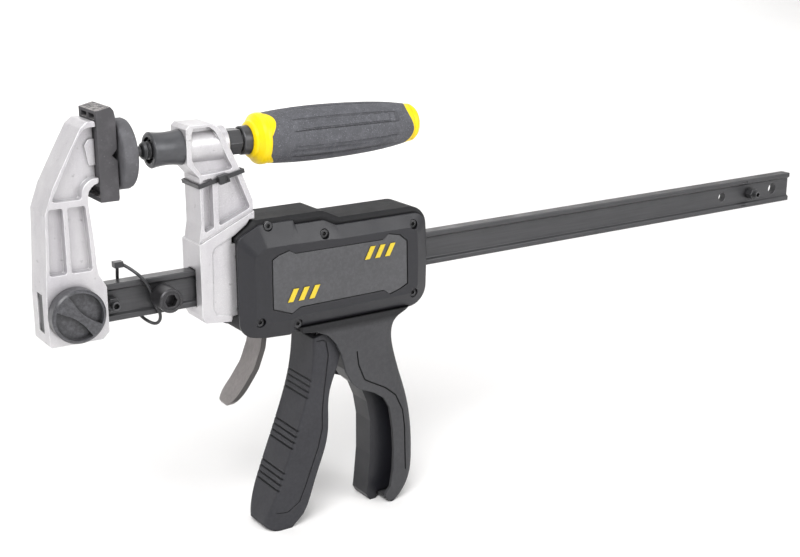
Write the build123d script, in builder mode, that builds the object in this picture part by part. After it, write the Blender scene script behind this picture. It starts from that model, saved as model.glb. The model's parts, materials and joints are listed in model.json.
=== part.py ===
from build123d import *
import os
from math import cos, radians, sin

# Quick release bar clamp, in millimetres. X runs along the bar, Y across it, Z up.
# The origin is the centre of the swivel pad's face, on the axis of the clamping screw.
# The bar lies below that axis, and the clamp stands on its trigger and its handle.
# Side outlines are lists of (x, height above the bar's axis).

# ---------------------------------------------------------------- driving dimensions
throat_depth = 79.6        # screw axis to bar axis
foot_depth = 156.5         # bar axis to the feet of trigger and handle
jaw_gap = 1.5              # between the two pads at rest

# bar
bar_height = 21.0
bar_thick = 8.4
web_thick = 5.2
flange_height = 3.6
bar_start = -43.5
bar_length = 576.0
bar_hole_r = 3.4
end_hole_r = 4.0
bar_clearance = 0.35       # round the bar in every window it slides through
bar_seat = 0.15            # round the bar in the fixed jaw

# fixed jaw, its pad, its knob
jaw_half = 11.5
jaw_pocket_depth = 5.0
pad_half = 12.3
pad_thick = 10.2
pad_seat = 0.4             # behind the pad, on the casting
groove_rise = 1.7          # V groove above the screw's axis
groove_depth = 3.0
knob_x = -29.8
knob_r = 14.6
knob_plate = 4.0
knob_ridge = 3.8
knob_rim = 1.7
knob_gap = 0.3
pin_r = 3.0
pin_travel = 2.3           # draws the pin out of the bar's web
pin_fit = 0.08             # radial clearance of turning and sliding pins

# studs and stop screw on the bar
stud_flats = 6.8
stud_length = 6.0
stud_tip_r = 2.3
stud_tip_length = 3.5
near_stud_x = -6.8
stop_screw_x = 21.6
far_stud_from_end = 42.4
far_hole_from_end = 70.1
end_hole_from_end = 16.8
stop_head_r = 6.8
stop_neck_r = 3.7
stop_neck_length = 3.0
stop_head_length = 12.0
stop_shank_r = 3.0

# moving jaw casting
arm_half = 9.8
arm_pocket_depth = 5.0
barrel_r = 9.6             # nut barrel standing in the arm's pocket
box_half = 11.5
boss_start = 38.6

# clamping screw
spindle_r = 5.0
spindle_start = 16.2
spindle_length = 90.4
spindle_neck_r = 2.7
stud_shank_r = 2.4
ball_r = 4.4
ball_x = 6.6
sleeve_start = 20.7
sleeve_r = 9.9
sleeve_waist_r = 9.0
sleeve_bore_r = 7.2
nut_r = 8.0
nut_length = 17.0
collar_start = 65.4
collar_nut_flats = 13.6
collar_nut_length = 8.2
collar_length = 5.2
collar_r = 8.1
collar_well_r = 8.4        # room for the nut in the casting
grip_start = 88.4
grip_end = 185.8
grip_r = 15.7
grip_end_r = 11.4
grip_core_r = 11.0
core_neck_r = 10.4
core_ring_r = 14.6
cap_end = 192.4
swivel_pad_r = 18.9
swivel_pad_thick = 8.3
plate_r = 16.2

# housing and handle
cover_face = 20.5          # half width over the side covers
cover_edge = 16.6          # half width where the cover facets start
shell_half = 15.0          # half width of the shells under the covers
cavity_half = 12.4
handle_half = 18.5
pocket_half = 16.2
post_half = 8.5
cover_screw_r = 2.5
cover_screw_hole_r = 2.9
screw_shank_r = 1.5
screw_fit = 0.05
handle_top = -30.2         # where the handle block meets the side covers
pocket_top = -31.9         # roof of the hollow handle
handle_nose = 92.0
groove_width = 0.9
jaw_pin_r = 2.0
plate_recess = 0.9
accent_thick = 0.5
accent_width = 3.4
accent_height = 7.5
accent_lean = 4.0
accent_pitch = 7.0
accent_margin = 9.5
accent_rise = 5.0
plate_left = 82.5
plate_right = 174.5

# trigger, drive plates, release lever
trigger_half = 15.0
trigger_wall = 3.6
ridge_depth = 1.0
pivot_x = 107.0
pivot_height = 21.0
pivot_r = 3.0
cheek_inner = 8.8
cheek_outer = 11.3
nose_x = 110.0
nose_height = -16.0
nose_r = 3.0
drive_plate_x = 113.4
drive_plate_thick = 2.5
drive_plate_gap = 0.3
drive_plate_half = 6.0
lever_thick = 3.2
lever_half = 9.0
lever_window = 0.9

# springs
spring_wire_r = 0.6
spring_r = 3.0
brake_rib_x = 96.4
drive_rib_x = 152.0

os.makedirs("parts", exist_ok=True)

# ---------------------------------------------------------------- shared helpers
bar_z = -throat_depth
bar_end = bar_start + bar_length
far_stud_x = bar_end - far_stud_from_end
far_hole_x = bar_end - far_hole_from_end
end_hole_x = bar_end - end_hole_from_end


def up(rise):
    """Height above the bar's axis of a point this far above the screw's axis."""
    return throat_depth + rise


def low(rise):
    """Height above the bar's axis of a point this far above the feet."""
    return rise - foot_depth


def side_plane(y):
    """Plane at depth y seen from the front: x to the right, height above the bar's axis up."""
    return Plane(origin=(0, y, bar_z), x_dir=(1, 0, 0), z_dir=(0, -1, 0))


def end_plane(x):
    """Plane across the bar at x, on the bar's axis, facing +X."""
    return Plane(origin=(x, 0, bar_z), x_dir=(0, 1, 0), z_dir=(1, 0, 0))


def outline(points, y, corner=0):
    """Closed side outline on the plane at depth y, with every corner rounded."""
    with BuildSketch(side_plane(y)) as shape:
        with BuildLine():
            Polyline(*points, close=True)
        make_face()
        if corner:
            fillet(shape.vertices(), radius=corner)
    return shape.sketch


def discs(places, radius, y):
    """Round discs at (x, height) places on the plane at depth y."""
    with BuildSketch(side_plane(y)) as shape:
        with Locations(*places):
            Circle(radius)
    return shape.sketch


def hexagon(place, flats, y):
    """Hexagon of the given width over flats on the plane at depth y."""
    with BuildSketch(side_plane(y)) as shape:
        with Locations(place):
            RegularPolygon(flats / 2, 6, major_radius=False)
    return shape.sketch


def end_box(x, width, bottom, top):
    """Rectangle across the bar at x, between two heights above the bar's axis."""
    with BuildSketch(end_plane(x)) as shape:
        with Locations((0, (bottom + top) / 2)):
            Rectangle(width, top - bottom)
    return shape.sketch


def bar_window(x, length, clearance):
    """Straight window for the bar, from x over the given length."""
    reach = bar_height / 2 + clearance
    return extrude(end_box(x, bar_thick + 2 * clearance, -reach, reach), amount=length,
                   mode=Mode.PRIVATE)


def rounded(points, y):
    """Closed side outline of (x, height, corner radius) points on the plane at depth y."""
    with BuildSketch(side_plane(y)) as shape:
        with BuildLine():
            Polyline(*[(x, height) for x, height, corner in points], close=True)
        make_face()
        for x, height, corner in points:
            if corner:
                fillet(shape.vertices().sort_by_distance((x, height, 0))[0], radius=corner)
    return shape.sketch


def screw_profile(points):
    """Closed outline of (x, radius) points about the screw axis."""
    with BuildSketch(Plane.XZ) as shape:
        with BuildLine():
            Polyline(*points, close=True)
        make_face()
    return shape.sketch


def coil(x, height, radius, length, turns):
    """Open coil spring along X, centred at height above the bar's axis."""
    start = (x, 0, bar_z + height)
    with BuildPart() as wound:
        with BuildLine() as path:
            Helix(pitch=length / turns, height=length, radius=radius, center=start,
                  direction=(1, 0, 0))
        with BuildSketch(Plane(origin=path.line @ 0, z_dir=path.line % 0)):
            Circle(spring_wire_r)
        sweep(path=path.line, is_frenet=True)
    return wound


def save(builder, label):
    builder.part.label = label
    export_step(builder.part, "parts/" + label + ".step")


# ---------------------------------------------------------------- bar
half_height = bar_height / 2
flange_in = half_height - flange_height
half_thick = bar_thick / 2
half_web = web_thick / 2
flank = [(half_thick, half_height), (half_thick, flange_in + 0.6), (half_web, flange_in - 0.6),
         (half_web, -flange_in + 0.6), (half_thick, -flange_in - 0.6), (half_thick, -half_height)]
other_flank = [(-y, h) for y, h in reversed(flank)]
stake_rise = half_height - 1.8   # two marks staked into the flanges beside the far stud

with BuildPart() as bar:
    with BuildSketch(end_plane(bar_start)) as section:
        with BuildLine():
            Polyline(*flank, *other_flank, close=True)
        make_face()
        fillet(section.vertices(), radius=0.5)
    extrude(amount=bar_length)
    extrude(discs([(knob_x, 0), (far_hole_x, 0)], bar_hole_r, half_thick), amount=bar_thick,
            mode=Mode.SUBTRACT)
    extrude(discs([(end_hole_x, 0)], end_hole_r, half_thick), amount=bar_thick, mode=Mode.SUBTRACT)
    shanks = [(near_stud_x, 0), (stop_screw_x, 0), (far_stud_x, 0)]
    extrude(discs(shanks, stop_shank_r + pin_fit, half_thick), amount=bar_thick,
            mode=Mode.SUBTRACT)
    with BuildSketch(side_plane(-half_thick)):
        with Locations((far_stud_x - 6.0, stake_rise), (far_stud_x - 6.0, -stake_rise)):
            Rectangle(6.0, 0.9)
    extrude(amount=-0.5, mode=Mode.SUBTRACT)
save(bar, "bar")


def stop_stud(x):
    """Hex stud with a socket tip on the front of the bar, riveted over at the back."""
    with BuildPart() as stud:
        extrude(hexagon((x, 0), stud_flats, -half_web), amount=stud_length)
        extrude(discs([(x, 0)], stud_tip_r, -half_web - stud_length), amount=stud_tip_length)
        tip = -half_web - stud_length - stud_tip_length
        extrude(hexagon((x, 0), 3.0, tip), amount=-2.5, mode=Mode.SUBTRACT)
        extrude(discs([(x, 0)], stop_shank_r, half_web), amount=web_thick)
        extrude(discs([(x, 0)], stop_shank_r + 1.4, half_web + 1.6), amount=1.6)
    return stud


near_stop_stud = stop_stud(near_stud_x)
save(near_stop_stud, "near_stop_stud")
far_stop_stud = stop_stud(far_stud_x)
save(far_stop_stud, "far_stop_stud")

with BuildPart() as stop_screw:
    head_base = -half_thick - 0.05 - stop_neck_length
    head_face = head_base - stop_head_length
    extrude(discs([(stop_screw_x, 0)], stop_head_r, head_base), amount=stop_head_length)
    chamfer(stop_screw.faces().sort_by(Axis.Y)[0].edges(), length=0.7)
    extrude(discs([(stop_screw_x, 0)], 0.78 * stop_head_r, head_face), amount=-0.5,
            mode=Mode.SUBTRACT)
    extrude(hexagon((stop_screw_x, 0), 0.97 * stop_head_r, head_face), amount=-5,
            mode=Mode.SUBTRACT)
    extrude(discs([(stop_screw_x, 0)], stop_neck_r, -half_thick - 0.05), amount=stop_neck_length)
    shank_end = half_thick + 6.5
    extrude(discs([(stop_screw_x, 0)], stop_shank_r, shank_end), amount=shank_end + half_thick + 0.1)
save(stop_screw, "stop_screw")

with BuildPart() as stop_screw_nut:
    extrude(hexagon((stop_screw_x, 0), 10.0, half_thick + 5.05), amount=5.0)
    chamfer(stop_screw_nut.faces().sort_by(Axis.Y)[-1].edges(), length=0.5)
    extrude(discs([(stop_screw_x, 0)], stop_shank_r + pin_fit, half_thick + 6), amount=7,
            mode=Mode.SUBTRACT)
save(stop_screw_nut, "stop_screw_nut")

# ---------------------------------------------------------------- fixed jaw
jaw_back = [(-44.2, -16.8), (-44.2, 9.8), (-42.5, 36.2), (-41.7, up(-25.1)), (-37.1, up(-12.7))]
jaw_face_x = -jaw_gap - pad_thick - pad_seat
jaw_tip = [(-26.3, up(6.7)), (-20.2, up(17.2)), (-16.4, up(20.2)), (jaw_face_x, up(20.4))]
jaw_front = [(jaw_face_x, up(-12.0)), (-14.4, up(-12.5)), (-16.2, up(-13.8)), (-17.8, up(-16.0)),
             (-18.5, up(-18.6)), (-18.6, up(-22.4)), (-16.8, 38.0), (-16.2, 24.0), (-15.4, 18.8),
             (-12.6, 14.0), (-11.4, 11.4), (-11.4, -13.0), (-15.0, -16.8)]
jaw_points = jaw_back + jaw_tip + jaw_front

upper_pocket = [(-5.0, up(17.3)), (-16.2, up(17.3)), (-18.6, up(16.4)), (-20.8, up(14.2)),
                (-25.3, up(6.2)), (-38.3, up(-19.5)), (-22.0, up(-19.5)), (-21.3, up(-15.0)),
                (-19.9, up(-12.5)), (-17.9, up(-10.7)), (-15.6, up(-9.4)), (-5.0, up(-9.2))]
left_pocket = [(-40.3, up(-22.9)), (-32.2, up(-22.9)), (-32.2, 21.6), (-41.6, 21.6)]
right_pocket = [(-29.9, up(-22.9)), (-20.2, up(-22.9)), (-19.0, 38.0), (-18.4, 21.6),
                (-29.9, 21.6)]
pad_boss = [(-17.4, up(7.6)), (-15.2, up(10.6)), (jaw_face_x, up(10.6)), (jaw_face_x, up(-3.0)),
            (-15.6, up(-3.0))]

with BuildPart() as fixed_jaw:
    extrude(outline(jaw_points, jaw_half, 1.4), amount=2 * jaw_half)
    for pocket in (upper_pocket, left_pocket, right_pocket):
        extrude(outline(pocket, -jaw_half, 1.6), amount=-jaw_pocket_depth, mode=Mode.SUBTRACT)
        extrude(outline(pocket, jaw_half, 1.6), amount=jaw_pocket_depth, mode=Mode.SUBTRACT)
    boss_half = jaw_half - jaw_pocket_depth + 1.6
    extrude(outline(pad_boss, boss_half), amount=2 * boss_half)
    add(bar_window(bar_start - 5, 60, bar_seat), mode=Mode.SUBTRACT)
    extrude(discs([(knob_x, 0)], pin_r + pin_fit, 0), amount=jaw_half, mode=Mode.SUBTRACT)
save(fixed_jaw, "fixed_jaw")

pad_face_x = -jaw_gap
pad_back_x = pad_face_x - pad_thick
pad_top = up(26.9)
pad_foot = up(-22.4)
groove_height = up(groove_rise)
pad_points = [(pad_back_x, pad_foot), (pad_face_x - 0.4, pad_foot), (pad_face_x, pad_foot + 1.3),
              (pad_face_x, groove_height - groove_depth),
              (pad_face_x - groove_depth, groove_height),
              (pad_face_x, groove_height + groove_depth), (pad_face_x, pad_top - 5.5),
              (pad_face_x - 0.7, pad_top - 2.0), (pad_face_x - 2.4, pad_top),
              (pad_back_x, pad_top - 1.8)]
pad_recess_depth = 4.0

with BuildPart() as jaw_pad:
    extrude(outline(pad_points, pad_half), amount=2 * pad_half)
    with BuildSketch(Plane.YZ.offset(pad_back_x)):
        with Locations((-5.2, 22.0), (5.2, 22.0)):
            Rectangle(8.0, 2.8)
        with Locations((0, -17.2)):
            Rectangle(2 * pad_half - 3.0, 5.4)
    extrude(amount=pad_recess_depth, mode=Mode.SUBTRACT)
save(jaw_pad, "jaw_pad")

# ---------------------------------------------------------------- lock knob and pin
knob_back = -jaw_half - knob_gap
pin_cavity_r = 4.3
pin_head = 1.0
pin_cavity_depth = pin_head + pin_travel + 0.2
pin_tip = pin_travel - half_web - 0.1
ridge_turn = radians(-43)
ridge_side = [(-knob_r, 4.8), (-9.0, 4.2), (-4.0, 2.7), (2.0, 2.1), (8.0, 2.8), (knob_r, 4.4)]


def on_knob(x, height):
    """Point of the knob's ridge, turned about the knob's centre."""
    return (knob_x + x * cos(ridge_turn) - height * sin(ridge_turn),
            x * sin(ridge_turn) + height * cos(ridge_turn))


upper_side = [on_knob(x, half) for x, half in ridge_side]
lower_side = [on_knob(x, -half) for x, half in reversed(ridge_side)]

with BuildPart() as lock_knob:
    knob_depth = knob_plate + knob_ridge
    extrude(discs([(knob_x, 0)], knob_r, knob_back), amount=knob_depth)
    chamfer(lock_knob.faces().sort_by(Axis.Y)[0].edges(), length=1.1)
    with BuildSketch(side_plane(knob_back - knob_depth)):
        with Locations((knob_x, 0)):
            Circle(knob_r - knob_rim)
        with BuildLine():
            Spline(*upper_side)
            Line(upper_side[-1], lower_side[0])
            Spline(*lower_side)
            Line(lower_side[-1], upper_side[0])
        make_face(mode=Mode.SUBTRACT)
    extrude(amount=-knob_ridge, mode=Mode.SUBTRACT)
    extrude(discs([(knob_x, 0)], pin_cavity_r, knob_back), amount=pin_cavity_depth,
            mode=Mode.SUBTRACT)
save(lock_knob, "lock_knob")

pin_head_back = knob_back - 0.1
with BuildPart() as lock_pin:
    extrude(discs([(knob_x, 0)], pin_cavity_r - 0.3, pin_head_back), amount=pin_head)
    extrude(discs([(knob_x, 0)], pin_r, pin_tip), amount=pin_tip - pin_head_back)
    chamfer(lock_pin.faces().sort_by(Axis.Y)[-1].edges(), length=0.5)
save(lock_pin, "lock_pin")

# ---------------------------------------------------------------- moving jaw casting
casting_top = up(12.7)
arm_points = [(boss_start, up(-8.8)), (boss_start, up(10.7)), (boss_start + 2.2, casting_top),
              (54.4, casting_top), (58.0, up(10.2)), (61.2, up(4.6)), (65.4, up(-4.1)),
              (71.0, up(-16.2)), (77.2, 47.3), (77.0, 41.4), (43.6, 26.2), (45.4, 36.0),
              (45.4, up(-16.4)), (40.2, up(-10.4))]
box_points = [(77.0, 41.4), (77.0, 37.0), (73.8, 37.0), (71.6, 34.2), (62.6, 27.9),
              (62.6, 24.2), (70.0, 24.2), (70.0, -17.6), (62.0, -17.6), (60.6, -20.6),
              (45.0, -19.0), (43.0, -15.0), (43.0, 26.2)]
boss_pocket = [(41.6, up(-6.0)), (41.8, up(7.6)), (42.8, up(10.8)), (52.6, up(11.0)),
               (56.0, up(8.2)), (58.6, up(3.3)), (61.3, up(-4.2)), (65.8, up(-13.2)),
               (58.3, up(-14.3)), (46.9, up(-15.0)), (42.6, up(-9.4))]
low_pocket_a = [(47.2, up(-18.0)), (53.0, up(-17.0)), (53.0, 34.6), (47.2, 32.0)]
low_pocket_b = [(56.2, up(-16.6)), (67.4, up(-15.6)), (75.2, 44.4), (75.2, 43.0), (56.2, 35.0)]
box_panel = [(50.6, 21.0), (52.3, 23.6), (76.5, 34.6), (76.5, 36.0), (80.0, 36.0),
             (80.0, -25.0), (61.2, -25.0), (61.2, -17.0), (52.0, -15.4), (50.0, -12.0)]
nut_start = boss_start + 0.4

with BuildPart() as moving_jaw:
    extrude(outline(arm_points, arm_half), amount=2 * arm_half)
    for pocket in (boss_pocket, low_pocket_a, low_pocket_b):
        extrude(outline(pocket, -arm_half, 1.2), amount=-arm_pocket_depth, mode=Mode.SUBTRACT)
        extrude(outline(pocket, arm_half, 1.2), amount=arm_pocket_depth, mode=Mode.SUBTRACT)
    with BuildSketch(Plane.YZ.offset(boss_start)):
        Circle(barrel_r)
    extrude(amount=26.0)
    with BuildSketch(Plane.YZ.offset(boss_start)) as boss_front:
        with Locations((0, casting_top - throat_depth - 60)):
            Rectangle(2 * arm_half, 120)
        fillet(boss_front.vertices().sort_by(Axis.Z)[-2:], radius=7.0)
    extrude(amount=60, mode=Mode.INTERSECT)
    extrude(outline(box_points, box_half), amount=2 * box_half)
    extrude(outline(box_panel, -box_half), amount=-0.6, mode=Mode.SUBTRACT)
    extrude(outline(box_panel, box_half), amount=0.6, mode=Mode.SUBTRACT)
    add(bar_window(boss_start, 40, bar_clearance), mode=Mode.SUBTRACT)
    with BuildSketch(Plane.YZ.offset(boss_start - 1)):
        Circle(sleeve_bore_r)
    extrude(amount=40, mode=Mode.SUBTRACT)
    with BuildSketch(Plane.YZ.offset(boss_start - 1)):
        Circle(nut_r + screw_fit)
    extrude(amount=nut_length + 1.4, mode=Mode.SUBTRACT)
    with BuildSketch(Plane.YZ.offset(collar_start - 0.3)):
        Circle(collar_well_r)
    extrude(amount=collar_nut_length, mode=Mode.SUBTRACT)
    extrude(discs([(66.3, 16.5), (66.3, -14.2)], jaw_pin_r + screw_fit, box_half),
            amount=2 * box_half, mode=Mode.SUBTRACT)
save(moving_jaw, "moving_jaw")

with BuildPart() as jaw_pins:
    extrude(discs([(66.3, 16.5), (66.3, -14.2)], jaw_pin_r, shell_half - 0.1),
            amount=2 * (shell_half - 0.1))
save(jaw_pins, "jaw_pins")

# ---------------------------------------------------------------- screw nut and guide sleeve
with BuildPart() as screw_nut:
    with BuildSketch(Plane.YZ.offset(nut_start)):
        Circle(nut_r)
        Circle(spindle_r + pin_fit, mode=Mode.SUBTRACT)
    extrude(amount=nut_length)
save(screw_nut, "screw_nut")

sleeve_end = boss_start - 0.05
sleeve_mid = (sleeve_start + sleeve_end) / 2
with BuildPart() as guide_sleeve:
    with BuildSketch(Plane.XZ):
        with BuildLine():
            Polyline((sleeve_start, sleeve_r - 0.8), (sleeve_start, sleeve_bore_r),
                     (sleeve_end, sleeve_bore_r), (sleeve_end, sleeve_r))
            ThreePointArc((sleeve_end, sleeve_r), (sleeve_mid, sleeve_waist_r),
                          (sleeve_start + 0.8, sleeve_r))
            Line((sleeve_start + 0.8, sleeve_r), (sleeve_start, sleeve_r - 0.8))
        make_face()
    revolve(axis=Axis.X)
    with BuildSketch(Plane.YZ.offset(sleeve_start + 2.0)):
        Circle(sleeve_bore_r + 0.7)
    extrude(amount=1.2, mode=Mode.SUBTRACT)
save(guide_sleeve, "guide_sleeve")

with BuildPart() as sleeve_snap_ring:
    with BuildSketch(Plane.YZ.offset(sleeve_start + 2.1)):
        Circle(sleeve_bore_r + 0.6)
        Circle(sleeve_bore_r - 1.1, mode=Mode.SUBTRACT)
        with Locations((0, -sleeve_bore_r)):
            Rectangle(2.4, 4, mode=Mode.SUBTRACT)
    extrude(amount=1.0)
save(sleeve_snap_ring, "sleeve_snap_ring")

# ---------------------------------------------------------------- clamping screw
spindle_end = spindle_start + spindle_length
stud_bore_r = stud_shank_r + pin_fit
stud_end = spindle_start + 11.0

with BuildPart() as spindle:
    revolve(screw_profile([(spindle_start, 0), (spindle_start, spindle_r - 1.8),
                           (spindle_start + 0.7, spindle_r - 0.7),
                           (spindle_start + 1.9, spindle_r), (spindle_end - 0.8, spindle_r),
                           (spindle_end, spindle_r - 0.8), (spindle_end, 0)]), axis=Axis.X)
    with BuildSketch(Plane.YZ.offset(spindle_start)):
        Circle(stud_bore_r)
    extrude(amount=stud_end + 0.4 - spindle_start, mode=Mode.SUBTRACT)
    thread_pitch = 2.4
    thread_turns = int((nut_start - 4 - spindle_start) / thread_pitch)
    for turn in range(thread_turns):
        groove_x = spindle_start + 3.4 + turn * thread_pitch
        revolve(screw_profile([(groove_x - 0.9, spindle_r + 0.1), (groove_x, spindle_r - 0.8),
                               (groove_x + 0.9, spindle_r + 0.1)]), axis=Axis.X,
                mode=Mode.SUBTRACT)
save(spindle, "spindle")

with BuildPart() as ball_stud:
    with Locations((ball_x, 0, 0)):
        Sphere(ball_r)
    neck_end = spindle_start - 0.2
    revolve(screw_profile([(ball_x, 0), (ball_x + 3.0, spindle_neck_r),
                           (neck_end, spindle_neck_r), (neck_end, stud_shank_r),
                           (stud_end, stud_shank_r), (stud_end, 0)]), axis=Axis.X)
save(ball_stud, "ball_stud")

nut_face = collar_start + collar_nut_length
collar_base = nut_face + 1.0
collar_end = collar_base + collar_length
with BuildPart() as spindle_collar:
    with BuildSketch(Plane.YZ.offset(collar_start)):
        RegularPolygon(collar_nut_flats / 2, 6, major_radius=False)
    extrude(amount=collar_nut_length)
    revolve(screw_profile([(nut_face, 0), (nut_face, collar_nut_flats / 2 - 0.5),
                           (collar_base, collar_nut_flats / 2 - 0.5),
                           (collar_base, collar_r - 0.6), (collar_base + 0.6, collar_r),
                           (collar_end, collar_r), (collar_end, 0)]), axis=Axis.X)
    with BuildSketch(Plane.YZ.offset(collar_start)):
        Circle(spindle_r + screw_fit)
    extrude(amount=collar_end - collar_start, mode=Mode.SUBTRACT)
save(spindle_collar, "spindle_collar")

core_start = collar_end + 0.05
with BuildPart() as handle_core:
    revolve(screw_profile([(core_start, 0), (core_start, collar_r + 0.2),
                           (core_start + 1.0, core_neck_r), (core_start + 2.2, core_neck_r + 0.4),
                           (core_start + 4.6, core_ring_r - 0.6), (core_start + 6.2, core_ring_r),
                           (grip_start, core_ring_r), (grip_start, grip_core_r),
                           (grip_end - 2.0, grip_core_r), (grip_end - 2.0, 0)]), axis=Axis.X)
    with BuildSketch(Plane.YZ.offset(core_start)):
        Circle(spindle_r + screw_fit)
    extrude(amount=spindle_end + 0.3 - core_start, mode=Mode.SUBTRACT)
save(handle_core, "handle_core")

grip_length = grip_end - grip_start
grip_bore = grip_core_r + screw_fit
with BuildPart() as handle_grip:
    with BuildSketch(Plane.XZ):
        with BuildLine():
            Polyline((grip_start + 0.05, grip_bore), (grip_start + 0.05, 14.2))
            Spline((grip_start + 0.05, 14.2), (grip_start + 0.24 * grip_length, grip_r),
                   (grip_start + 0.58 * grip_length, 0.94 * grip_r + 0.06 * grip_end_r),
                   (grip_start + 0.86 * grip_length, 0.5 * (grip_r + grip_end_r)),
                   (grip_end, grip_end_r))
            Polyline((grip_end, grip_end_r), (grip_end, grip_bore), (grip_start + 0.05, grip_bore))
        make_face()
    revolve(axis=Axis.X)
    with BuildSketch(Plane.YZ.offset(grip_start + 12)):
        with PolarLocations(grip_r + 1.9, 6, start_angle=30):
            Circle(2.6)
    extrude(amount=grip_length - 24, mode=Mode.SUBTRACT)
save(handle_grip, "handle_grip")

with BuildPart() as handle_end_cap:
    cap_start = grip_end + 0.05
    revolve(screw_profile([(cap_start, 0), (cap_start, grip_end_r), (cap_start + 2.4, 11.2),
                           (cap_start + 4.4, 9.8), (cap_start + 5.6, 7.2),
                           (cap_end - 0.2, 4.0), (cap_end, 0)]), axis=Axis.X)
save(handle_end_cap, "handle_end_cap")

# ---------------------------------------------------------------- swivel pad
plate_start = 3.2
plate_thick = 2.0
retainer_start = plate_start + plate_thick + 0.05
with BuildPart() as pad_face:
    revolve(screw_profile([(0, 0), (0, swivel_pad_r - 1.8), (0.6, swivel_pad_r - 0.5),
                           (1.8, swivel_pad_r), (swivel_pad_thick - 1.6, swivel_pad_r),
                           (swivel_pad_thick - 0.4, swivel_pad_r - 0.6),
                           (swivel_pad_thick, swivel_pad_r - 1.8),
                           (swivel_pad_thick, plate_r + 0.1), (plate_start, plate_r + 0.1),
                           (plate_start, ball_r + 1.2), (1.6, ball_r + 1.2), (1.6, 0)]),
            axis=Axis.X)
save(pad_face, "pad_face")

with BuildPart() as pad_plate:
    with BuildSketch(Plane.YZ.offset(plate_start + 0.05)):
        Circle(plate_r)
        Circle(ball_r + 0.4, mode=Mode.SUBTRACT)
    extrude(amount=plate_thick)
save(pad_plate, "pad_plate")

retainer_end = ball_x + 3.5
with BuildPart() as pad_retainer:
    revolve(screw_profile([(retainer_start, ball_r + 0.4), (retainer_start, plate_r),
                           (retainer_start + 2.2, plate_r), (retainer_start + 3.6, 10.0),
                           (retainer_end, 7.0), (retainer_end, spindle_neck_r + 1.4),
                           (ball_x + 3.1, spindle_neck_r + 1.2),
                           (ball_x + 1.0, ball_r + 0.5)]), axis=Axis.X)
save(pad_retainer, "pad_retainer")

# ---------------------------------------------------------------- housing shells
body_points = [(64.0, -28.2, 9.0), (80.0, -32.0, 8.0), (192.6, -32.0, 13.0), (193.4, 0, 0),
               (192.0, 31.0, 12.5), (131.5, 31.0, 4.0), (120.0, 36.3, 4.0), (75.0, 36.3, 2.6),
               (72.4, 33.4, 2.6), (64.0, 27.6, 2.6)]
handle_front = [(163.6, low(0)), (159.9, low(3.0)), (159.7, low(6.4)), (163.2, low(10.4)),
                (165.2, low(22.0)),
                (165.6, low(35.5)), (164.8, -107.0), (162.6, -93.0), (158.6, -85.8),
                (151.2, -80.6), (140.4, -76.0), (136.2, -71.8), (132.0, -64.0),
                (128.6, -51.6), (125.0, -44.0), (119.8, -38.2), (111.7, -34.6),
                (102.2, -33.4), (102.2, handle_top), (190.0, handle_top), (190.0, low(0))]
handle_rear = [(handle_top, 181.0), (-34.0, 174.8), (-38.4, 169.6), (-44.0, 167.8),
               (-57.4, 169.2), (-72.4, 173.4), (-87.0, 177.9), (-107.5, 181.6),
               (low(29.5), 182.4), (low(16.1), 181.2), (low(6.7), 177.0), (low(0), 170.4)]
pocket_rear = [(pocket_top, 160.5), (-38.0, 164.0), (-43.0, 163.4), (-57.4, 165.0),
               (-72.4, 169.2), (-87.0, 173.6), (-107.5, 177.4), (low(29.5), 178.2),
               (low(16.5), 176.8), (low(9.0), 173.2), (low(4.2), 167.6)]
cavity_points = [(55.0, -17.9), (79.0, -17.9), (79.0, -27.4), (160.0, -27.4), (184.0, -25.0),
                 (188.6, -12.0), (188.6, 8.0), (185.0, 22.0), (180.0, 25.8), (125.0, 25.8),
                 (117.0, 32.4), (79.0, 32.4), (76.6, 29.0), (71.0, 24.5), (55.0, 24.5)]
handle_groove = [(139.3, -51.9), (140.3, -60.3), (144.5, -70.8), (159.6, -79.1),
                 (166.9, -85.3), (172.1, -96.3), (173.6, -108.0), (174.2, low(20.0))]
swing_points = [(98.0, -20.0), (150.0, -20.0), (150.0, -45.0), (98.0, -45.0)]
lever_slot = [(77.5, -20.0), (91.5, -20.0), (91.5, -40.0), (77.5, -40.0)]
brake_rib = [(brake_rib_x, -28.0), (brake_rib_x + 2.8, -28.0), (brake_rib_x + 2.8, -12.6),
             (brake_rib_x, -12.6)]
drive_rib = [(drive_rib_x, 12.2), (drive_rib_x + 3.0, 12.2), (drive_rib_x + 3.0, 26.5),
             (drive_rib_x, 26.5)]
lever_ribs = [[(82.4, 18.5), (84.7, 18.5), (84.9, 33.0), (82.4, 33.0)],
              [(89.3, 18.5), (91.6, 18.5), (91.6, 33.0), (89.6, 33.0)]]
boss_places = [(117.8, 24.0), (179.5, 21.4), (179.5, -21.4), (99.7, -27.2)]
screw_places = [(82.5, 33.0), (75.0, -21.9)] + boss_places
rear_wall = 188.0


def handle_section(height, rear, half, corner):
    """Plan section of the handle at a height, with its two rear corners rounded."""
    with BuildSketch(Plane.XY.offset(bar_z + height)) as section:
        with Locations(((rear + handle_nose) / 2, 0)):
            Rectangle(rear - handle_nose, 2 * half)
        fillet(section.vertices().sort_by(Axis.X)[-2:], radius=corner)
    return section.sketch.face()


with BuildPart() as pocket:
    loft([handle_section(height, rear, pocket_half, 6.0) for height, rear in pocket_rear])

with BuildPart() as front_handle:
    loft([handle_section(height, rear, handle_half, 8.5) for height, rear in handle_rear])
    extrude(outline(handle_front, 0), amount=handle_half, mode=Mode.INTERSECT)

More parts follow.
